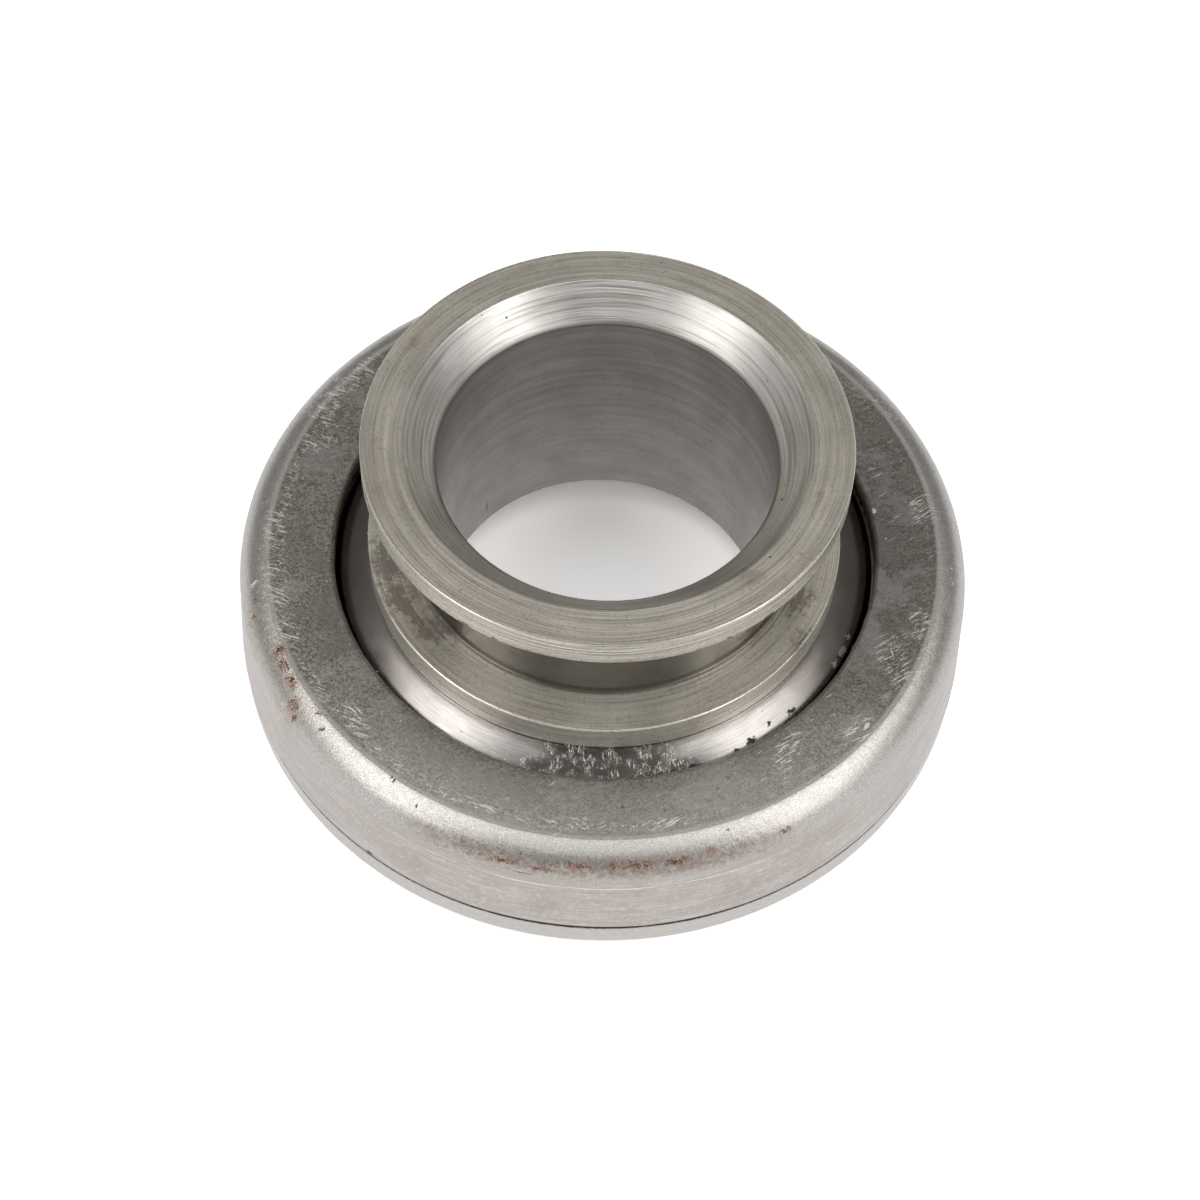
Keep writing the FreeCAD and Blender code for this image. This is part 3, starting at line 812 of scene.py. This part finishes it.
# %% Ground steel
def make_ground_steel():
    material, tree, at = new_steel("ground steel")
    place = at["Place"]
    fine = use(tree, turning_lines, Per_mm=8.0, Wander=10.0, Seed=3.0, Detail=3.0)
    cloud = noise(tree, place, 0.35, 4.0)
    # Painted shade: the crown is darker at its left and right sides.
    side_shade = fade(tree, calc(tree, "ABSOLUTE", at["Cosine"]), 0.55, 0.80)
    smear = marks(tree, shaken(tree, place, 0.9, 0.6), dish_smear, 0.75)
    # Scratches through the smear: a few winding threads, radial flecks, strokes in two directions.
    wild = use(tree, threads, Place=shaken(tree, place, 1.4, 0.4), Per_mm=2.4, Thin=0.030)
    radial = use(tree, flecks, Around=5.0, Across=0.9, Seed=2.0, Low=0.57, High=0.63)
    across = [use(tree, strokes, Place=place, Per_mm=per_mm, Turn=turn, Low=0.62, High=0.70)
              for per_mm, turn in ((5.0, 0.35), (4.4, -0.6))]
    scratches = most(tree, times(tree, wild, 0.3), radial, *across)
    chips = use(tree, specks, Place=place, Per_mm=1.3, Share=0.10, Size=0.15)
    here_and_there = fade(tree, noise(tree, place, 0.9, 2.0), 0.42, 0.62)
    pale = times(tree, scratches, fade(tree, smear, 0.2, 0.6), here_and_there)
    pale = most(tree, pale, times(tree, chips, 0.7))
    dirt = marks(tree, shaken(tree, place, 2.2, 0.5), dish_dirt, 0.5)
    green = marks(tree, shaken(tree, place, 3.0, 0.5), green_crust, 0.5)
    crumbs = noise(tree, place, 4.0, 2.0)
    crust = two_tone(tree, crumbs, 0.45, 0.6, (0.09, 0.14, 0.10), (0.34, 0.45, 0.38))
    colour = two_tone(tree, fine, 0.38, 0.66, (0.285, 0.27, 0.255), (0.36, 0.345, 0.335))
    colour = lay(tree, colour,
        (side_shade, 0.75, (0.18, 0.163, 0.152)),
        (smear, 0.88, (0.05, 0.046, 0.04)),
        (pale, 0.9, (0.85, 0.83, 0.78)),
        (dirt, 1.0, (0.035, 0.03, 0.025)),
        (green, fade(tree, noise(tree, place, 2.4, 3.0), 0.4, 0.52), crust))
    dull = most(tree, dirt, green, times(tree, pale, 0.6))
    rough = plus(tree, fade(tree, cloud, 0.3, 0.7, 0.19, 0.26), (smear, 0.04), (dull, 0.35))
    relief = plus(tree, 0.0, (fine, 0.0035), (pale, 0.03))
    return finish_steel(material, colour, rough, relief, plus(tree, 1.0, (dull, -0.8)))


dress(inner_race, make_ground_steel())

# %% [markdown]
# ## Pressed steel
#
# The shell is dull drawn sheet. Its grain is fine and even, like orange peel under a glass,
# which breaks the edge of each highlight. The flat is darker than the corner, which years of
# handling have rubbed bright. Rust has started on the left of the corner and in a band below
# it in front, where the sheet is also darkened by painted shade, and a line of scuffs runs
# where the flat turns into the corner.

# %% Where the shell is marked
shell_rust = [
    (204.8, 36.5, 16.8, 1, 1.1, 0.9), (207.6, 36.7, 16.7, 0.7, 1.4, 0.8),
    (211, 36.8, 16.7, 0.8, 1.3, 0.9), (214.4, 37.7, 16.2, 0.9, 1, 1),
    (216, 38.3, 15.5, 0.6, 0.7, 0.8), (218.7, 36.3, 16.9, 0.5, 0.5, 0.5),
    (221, 37, 16.6, 0.5, 0.5, 0.5), (193.6, 37.4, 16.4, 0.5, 0.6, 0.6),
    (196.5, 37.8, 16.1, 0.4, 0.6, 0.5), (276.8, 38.2, 15.7, 0.9, 2.4, 0.55),
    (273.2, 38.2, 15.7, 0.7, 1.4, 0.5), (282.6, 38.3, 15.6, 0.7, 1.6, 0.5),
    (268, 38.3, 15.6, 0.7, 1.7, 0.45), (288, 38, 16, 0.5, 0.8, 0.5),
    (291.2, 36.9, 16.7, 0.4, 0.5, 0.4), (257, 38.6, 14.9, 0.6, 1.6, 0.5),
    (263, 38.7, 14.8, 0.6, 1.4, 0.4), (300, 38.3, 15.3, 0.5, 1, 0.5)]
shell_tint = [
    (256, 38.8, 14.2, 1.5, 6, 1.5), (247, 38.9, 14, 1.5, 4.5, 1.4),
    (267, 38.7, 14.6, 1.5, 5.5, 1.3), (276, 38.4, 15, 1.5, 5.5, 1.3),
    (286, 38.5, 14.8, 1.5, 5.5, 1.3), (207, 37.3, 16.2, 1.8, 4, 1.6), (214, 38.3, 15, 1.6, 3, 2),
    (297, 38.8, 14.2, 1.5, 4.5, 1.3), (198, 38.2, 15.4, 1.4, 3, 1.5)]
shell_scuffs = [
    (223, 33.6, 17, 1, 2, 1), (200, 34.8, 17, 1.1, 3.4, 1), (191, 34.8, 17, 1.2, 3.2, 1),
    (180, 34.9, 17, 1.2, 3.4, 1), (320.5, 34.6, 17, 1.3, 1.8, 1), (336, 33.4, 17, 1.6, 3.2, 1, 35),
    (345, 34.6, 17, 1.2, 2.4, 1, 20), (10, 34.8, 17, 1.3, 2.2, 1), (150, 36.2, 16.9, 1.4, 3.6, 1.4),
    (141, 35.6, 17, 1, 2.6, 1.4), (158, 33.6, 17, 1.6, 2.2, 1.2, -30),
    (34, 36.6, 16.8, 0.8, 3.4, 1.2), (308, 31.5, 17, 1.2, 2.6, 1, 30), (268, 34.2, 17, 0.6, 3.5, 1),
    (282, 34.6, 17, 0.5, 3.5, 1)]
for layer, spots in (("rust", shell_rust), ("tint", shell_tint), ("scuff", shell_scuffs)):
    paint(bearing_shell, layer, shell_grid, spots)
rust_specks = [
    (251.7, 29.65, 17, 0.28, 0.28, 0.4), (258.3, 29.8, 17, 0.22, 0.28, 0.4),
    (275.3, 32.35, 17, 0.35, 0.35, 0.4), (292.7, 32.1, 17, 0.25, 0.25, 0.4),
    (295.3, 31.3, 17, 0.25, 0.25, 0.4)]
bright_strokes = [
    (221.6, 33.3, 17, 0.1, 0.9, 0.3, 6), (222.4, 32.9, 17, 0.08, 0.7, 0.3, 4),
    (223.4, 33.4, 17, 0.09, 0.6, 0.3, 10), (190.5, 37.35, 16.5, 0.75, 0.22, 0.7, 25),
    (236.5, 39, 13.3, 0.3, 0.25, 0.12), (245.8, 39.05, 12.3, 0.3, 1.2, 0.07),
    (337.5, 32.9, 17, 0.1, 0.9, 0.3, 40), (321.9, 35, 17, 0.3, 0.7, 0.3, 10),
    (10.8, 29.5, 17, 0.3, 0.5, 0.3)]
dark_nicks = [
    (236.3, 36.2, 16.9, 0.35, 0.12, 0.4, 10), (235.7, 36.1, 16.9, 0.25, 0.1, 0.4, -20),
    (241.7, 37.2, 16.5, 0.3, 0.12, 0.4), (309.7, 35.9, 17, 0.12, 0.12, 0.4),
    (234.4, 39.5, 5.1, 0.4, 0.5, 0.35), (259.8, 38.96, 13.8, 0.3, 1.6, 0.08)]

# %% Pressed steel
def make_pressed_steel():
    material, tree, at = new_steel("pressed steel")
    place, radius, height, cosine, sine = at
    fine = noise(tree, place, 4.5, 3.0, 0.7)
    tiny = noise(tree, place, 7.0, 2.0, 0.6)
    peel = noise(tree, place, 1.6, 5.0, 0.65)
    cloud = noise(tree, place, 0.16, 5.0, 0.6)
    streaks = use(tree, turning_lines, Per_mm=2.4, Wander=7.0, Seed=11.0, Detail=3.0)
    on_flat = fade(tree, radius, 35.75, 35.35)
    on_skirt = fade(tree, height, 14.5, 12.5)
    on_corner = times(tree, plus(tree, 1.0, (on_flat, -1.0)), plus(tree, 1.0, (on_skirt, -1.0)))
    in_front = fade(tree, sine, -0.84, -0.97)

    # The flat: fine speckle, faint radial drawing lines, then clouds of a duller tone.
    drawn = use(tree, flecks, Around=1.6, Across=0.10, Seed=9.0, Low=0.40, High=0.66)
    # Painted shade: the flat is coloured darker on its right side.
    side_shade = times(tree, fade(tree, cosine, 0.70, 0.95), fade(tree, peel, 0.2, 0.6, 0.6, 1.0))
    # Painted light: the front part of the flat is coloured lighter.
    painted_front_light = times(tree, fade(tree, sine, -0.5, -0.95),
                       fade(tree, radius, 28.8, 31.5, 0.3, 1.0))
    flat = two_tone(tree, fine, 0.38, 0.62, (0.15, 0.142, 0.128), (0.41, 0.392, 0.36))
    flat = lay(tree, flat,
        (side_shade, 0.55, (0.13, 0.12, 0.108)),
        (drawn, 0.10, (0.56, 0.545, 0.52)),
        (fade(tree, cloud, 0.50, 0.64), 0.6, (0.235, 0.225, 0.205)),
        (fade(tree, cloud, 0.47, 0.36), 0.4, (0.46, 0.45, 0.43)),
        (painted_front_light, 0.38, (0.58, 0.56, 0.54)))
    # The skirt: a pinkish film of handling, in streaks and clouds.
    handled = use(tree, flecks, Around=0.16, Across=2.2, Seed=5.0, Low=0.42, High=0.62)
    skirt = two_tone(tree, streaks, 0.35, 0.65, (0.52, 0.475, 0.45), (0.63, 0.59, 0.565))
    skirt = lay(tree, skirt,
        (fade(tree, fine, 0.52, 0.36), 0.35, (0.42, 0.37, 0.345)),
        (plus(tree, 1.0, (handled, -1.0)), 0.6, (0.43, 0.38, 0.35)),
        (fade(tree, cloud, 0.50, 0.38), 0.5, (0.40, 0.345, 0.315)),
        (fade(tree, peel, 0.50, 0.36), 0.35, (0.43, 0.375, 0.345)),
        (fade(tree, peel, 0.53, 0.64), 0.4, (0.76, 0.725, 0.70)))
    corner = two_tone(tree, tiny, 0.36, 0.62, (0.43, 0.415, 0.395), (0.62, 0.605, 0.58))
    colour = lay(tree, corner, (on_flat, 1.0, flat), (on_skirt, 0.9, skirt))

    # A painted shade below the corner in front, tinted brown, with darker freckles in it.
    front_shade_band = times(tree, window(tree, height, 13.6, 15.2, 15.6, 16.3), in_front)
    freckles = times(tree, window(tree, height, 13.0, 15.0, 15.9, 16.75),
                     fade(tree, sine, -0.82, -0.96),
                     fade(tree, plus(tree, fine, (peel, 0.6)), 0.84, 0.96))
    tint = times(tree, worn(tree, "tint"), fade(tree, peel, 0.35, 0.62))
    colour = lay(tree, colour,
        (front_shade_band, fade(tree, peel, 0.3, 0.65, 0.2, 0.7), (0.24, 0.19, 0.17)),
        (freckles, 0.7, (0.17, 0.125, 0.105)),
        (tint, 0.5, (0.42, 0.29, 0.21)))

    # Scuffs: frosty strokes along the line where the flat turns, and in patches elsewhere. They
    # run down to the right on the left side, and up to the right on the right side.
    turn = fade(tree, cosine, -0.02, 0.02, -1.95, -0.96)
    stroke = use(tree, strokes, Place=place, Per_mm=4.2, Turn=turn, Low=0.53, High=0.68)
    frost = fade(tree, plus(tree, fine, (peel, 0.7)), 0.92, 1.1)
    scraped = most(tree, times(tree, stroke, 0.8), times(tree, frost, 0.6))
    line = times(tree, window(tree, plus(tree, radius, (cloud, 2.4)), 34.9, 35.7, 36.0, 36.5),
                 fade(tree, cosine, 0.35, -0.35, 0.35, 1.0), fade(tree, peel, 0.36, 0.5))
    scuff = worn(tree, "scuff")
    patch = times(tree, fade(tree, plus(tree, scuff, (peel, 0.5)), 0.40, 0.75),
                  fade(tree, scuff, 0.0, 0.2))
    # Single strokes, chips and hairs, and a painted highlight in front along a low ridge where the
    # corner meets the skirt.
    single = marks(tree, shaken(tree, place, 2.6, 0.16), bright_strokes, 0.6)
    chips = use(tree, specks, Place=place, Per_mm=1.0, Share=0.24, Size=0.13)
    hairs = use(tree, strokes, Place=place, Per_mm=3.4, Turn=2.2, Low=0.67, High=0.74)
    ragged = plus(tree, height, (peel, 0.35))
    # Painted highlight: a light line along the ridge, in front only.
    ridge = times(tree, window(tree, ragged, 12.1, 12.3, 12.45, 12.65), in_front,
                  fade(tree, streaks, 0.38, 0.55))
    rubbed_and_glint = most(tree, times(tree, line, scraped), times(tree, patch, scraped), single,
                  times(tree, chips, 0.7), times(tree, hairs, 0.4), times(tree, ridge, 0.9))
    # Nicks, the dark lower lip, and rust over everything.
    nick = most(tree, marks(tree, shaken(tree, place, 3.0, 0.12), dark_nicks, 0.5),
                fade(tree, ragged, 5.0, 4.8, 0.0, 0.8))
    rusting = marks(tree, shaken(tree, place, 2.4, 0.3), rust_specks, 0.6)
    cover = most(tree, worn(tree, "rust"), rusting)
    rusty = use(tree, rust, Place=place, Cover=cover, Ragged=2.6)
    colour = lay(tree, colour,
        (rubbed_and_glint, 0.82, (0.84, 0.825, 0.79)),
        (nick, 0.9, (0.06, 0.045, 0.04)),
        (rusty["Mask"], 1.0, rusty["Colour"]))

    rough = plus(tree, fade(tree, peel, 0.3, 0.7, 0.33, 0.42),
                 (most(tree, tint, front_shade_band), 0.10), (rusty["Mask"], 0.4))
    metal = plus(tree, 0.93, (on_flat, -0.07), (rusty["Mask"], -0.75), (rubbed_and_glint, -0.35))
    relief = plus(tree, times(tree, tiny, plus(tree, 0.010, (on_corner, 0.012))),
                  (peel, 0.03), (times(tree, streaks, on_skirt), 0.004),
                  (rubbed_and_glint, 0.02), (ridge, 0.10), (nick, -0.05))
    return finish_steel(material, colour, rough, relief, metal)


dress(bearing_shell, make_pressed_steel())

# %% [markdown]
# ## Ring, cage and balls
#
# The thrust ring is satin steel. The cage and the balls are inside, where only a section or
# the moving model shows them: the cage is dull, the balls are polished.

# %% Ring, cage and ball steel
def make_ring_steel():
    material, tree, at = new_steel("ring steel")
    lines = use(tree, turning_lines, Per_mm=3.0, Wander=5.0, Seed=19.0, Detail=3.0)
    grain = noise(tree, at["Place"], 2.6, 4.0, 0.65)
    edge = fade(tree, plus(tree, at["Height"], (grain, 0.3)), 4.25, 4.4)
    colour = two_tone(tree, grain, 0.35, 0.65, (0.54, 0.51, 0.49), (0.61, 0.585, 0.56))
    colour = lay(tree, colour, (edge, 0.9, (0.05, 0.04, 0.035)))
    relief = plus(tree, 0.0, (lines, 0.01), (grain, 0.02))
    return finish_steel(material, colour, fade(tree, lines, 0.3, 0.7, 0.3, 0.4), relief)


def make_hidden_steel(name, dark, light, rough, relief_mm):
    material, tree, at = new_steel(name)
    grain = noise(tree, at["Place"], 1.2, 4.0)
    colour = two_tone(tree, grain, 0.3, 0.7, dark, light)
    rough = fade(tree, grain, 0.3, 0.7, *rough)
    return finish_steel(material, colour, rough, times(tree, grain, relief_mm))


dress(thrust_ring, make_ring_steel())
cage_steel = make_hidden_steel(
    "cage steel", (0.30, 0.28, 0.25), (0.48, 0.46, 0.43), (0.32, 0.45), 0.03)
ball_steel = make_hidden_steel(
    "ball steel", (0.6, 0.6, 0.6), (0.72, 0.72, 0.72), (0.06, 0.12), 0.001)
for name, node in nodes.items():
    if name.startswith("ball"):
        for slot in node.material_slots:
            slot.material = cage_steel if name == "ball_cage" else ball_steel

# %% [markdown]
# ## Table and light
#
# The object stands on a white table that runs out of the picture. The photograph was exposed
# for dark steel, so the table is brighter than white: its cloth counts twice for the camera,
# and only the deepest part of the shadow stays grey. In the steel's mirror it is plain white.
# Two soft boxes stand left and right. Each leans, high behind the object and low in front of
# it, and a weak one is in front.

# %% Table
def blend(tree, share, first, second):
    """Two shaders mixed by a share."""
    node = add(tree, "MixShader", Fac=share)
    join(tree, first, node.inputs[1])
    join(tree, second, node.inputs[2])
    return node.outputs[0]


def make_white_cloth():
    material = bpy.data.materials.new("white table")
    material.use_nodes = True
    tree = material.node_tree
    tree.nodes.clear()
    path = add(tree, "LightPath").outputs
    cloth = add(tree, "BsdfDiffuse", Color=(0.88, 0.885, 0.90)).outputs[0]
    twice = add(tree, "AddShader")
    for socket in twice.inputs:
        join(tree, cloth, socket)
    in_steel = blend(tree, path["Is Glossy Ray"], cloth, add(tree, "Emission").outputs[0])
    seen = blend(tree, path["Is Camera Ray"], in_steel, twice.outputs[0])
    add(tree, "OutputMaterial", Surface=seen)
    return material


def make_table(half_width, level=-0.05 * MM):
    signs = [(-1, -1), (1, -1), (1, 1), (-1, 1)]
    corners = [(x * half_width, y * half_width, level) for x, y in signs]
    mesh = bpy.data.meshes.new("table")
    mesh.from_pydata(corners, [], [(0, 1, 2, 3)])
    table = put_in_scene("table", mesh)
    return table


table = make_table(1.5)
dress(table, make_white_cloth())

# %% Lamps
def soft_lamp(name, azimuth, height_angle, distance, width, tall, turn_about, radiance):
    """A soft box at an azimuth and an angle above the table, facing the object.

    Its power is pi x area x radiance, so `radiance` is how bright its face looks.
    """
    light = bpy.data.lights.new(name, "AREA")
    light.shape = "RECTANGLE"
    light.size, light.size_y = width, tall
    light.energy = math.pi * width * tall * radiance
    light.color = (1.0, 0.99, 0.965)
    lamp = put_in_scene(name, light)
    away = turned(azimuth, "Z") @ turned(-height_angle, "Y") @ Vector((1, 0, 0))
    facing = away.to_track_quat("Z", "Y").to_matrix().to_4x4() @ turned(turn_about, "Z")
    lamp.matrix_world = Matrix.Translation(Vector((0, 0, 16 * MM)) + away * distance) @ facing


soft_lamp("left lamp", 206, 45, 0.60, 0.24, 0.86, 32, 3.1)
soft_lamp("right lamp", 337, 44, 0.60, 0.25, 0.86, -32, 3.0)
soft_lamp("front lamp", 270, 54, 0.90, 0.44, 0.24, 0, 1.2)

# %% [markdown]
# ## The room
#
# The steel mirrors a room that is bright at the level of the table, dark in the middle and
# brighter again overhead. Behind the object it is darker. The camera itself sees only white.

# %% World
ROOM_TONE = (1.0, 0.97, 0.91)
room_levels = ((0.0, 0.95), (0.12, 0.24), (0.3, 0.32), (0.5, 0.18), (0.7, 0.22), (0.85, 0.40))

world = bpy.data.worlds.new("studio")
bpy.context.scene.world = world
world.use_nodes = True
tree = world.node_tree
tree.nodes.clear()
_, north, up = add(tree, "SeparateXYZ", Vector=add(tree, "TexCoord").outputs["Generated"]).outputs
stops = [(spot, tuple(level * tone for tone in ROOM_TONE)) for spot, level in room_levels]
behind = times(tree, fade(tree, north, 0.1, 0.6), fade(tree, up, 0.5, 0.15))
tone = ramp(tree, up, *stops, (1.0, (1, 1, 1)))
room = add(tree, "Background", Color=tone, Strength=plus(tree, 1.0, (behind, -0.6)))
white = add(tree, "Background", Color=(1, 1, 1), Strength=1.0)
by_camera = add(tree, "LightPath").outputs["Is Camera Ray"]
add(tree, "OutputWorld", Surface=blend(tree, by_camera, room.outputs[0], white.outputs[0]))

bpy.context.scene.view_settings.view_transform = "Standard"
